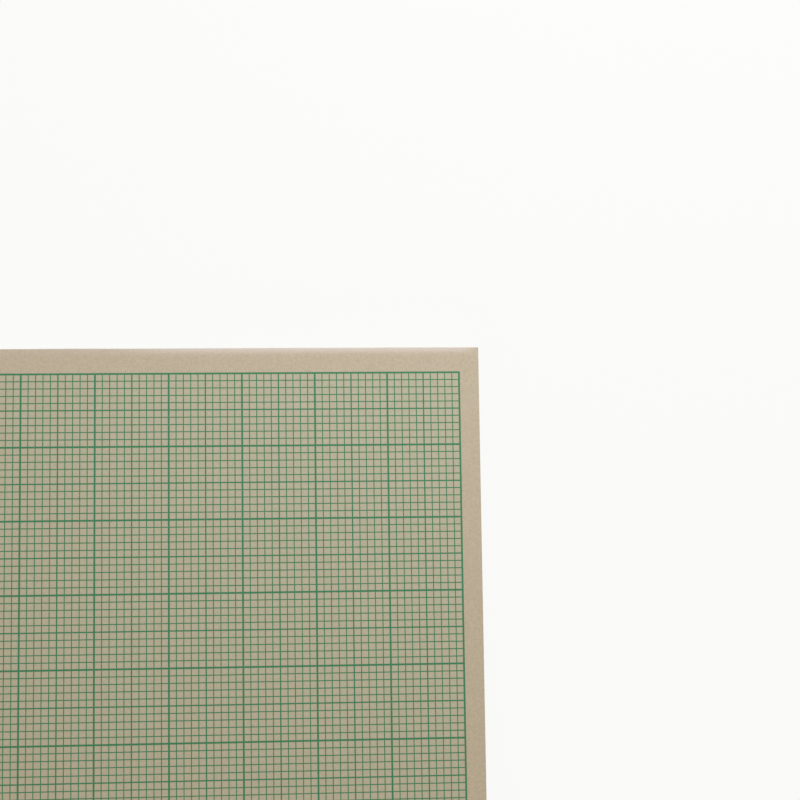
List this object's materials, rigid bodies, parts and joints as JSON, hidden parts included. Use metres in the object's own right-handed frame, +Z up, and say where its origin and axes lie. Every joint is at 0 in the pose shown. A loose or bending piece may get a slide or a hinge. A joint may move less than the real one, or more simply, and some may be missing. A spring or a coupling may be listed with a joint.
{
  "type": "graph pad",
  "caption": "A4 graph pad with green millimetre ruling on buff paper, sheets glued at the head onto a greyboard back",
  "frame": {"origin": "Middle of the pad's footprint, on the surface that it lies on", "axes": "+Z up out of the ruled face, +Y from the tail to the glued head, +X to the right across the sheet"},
  "size_m": [0.21, 0.2972, 0.006],
  "materials": {
    "paper": "matte",
    "greyboard": "matte",
    "glue": "satin",
    "ink": "matte"
  },
  "bodies": {
    "root": {"backing_board": "greyboard", "sheets": "paper", "padding_glue": "glue", "upright_lines": "ink", "level_lines": "ink"}
  },
  "joints": []
}
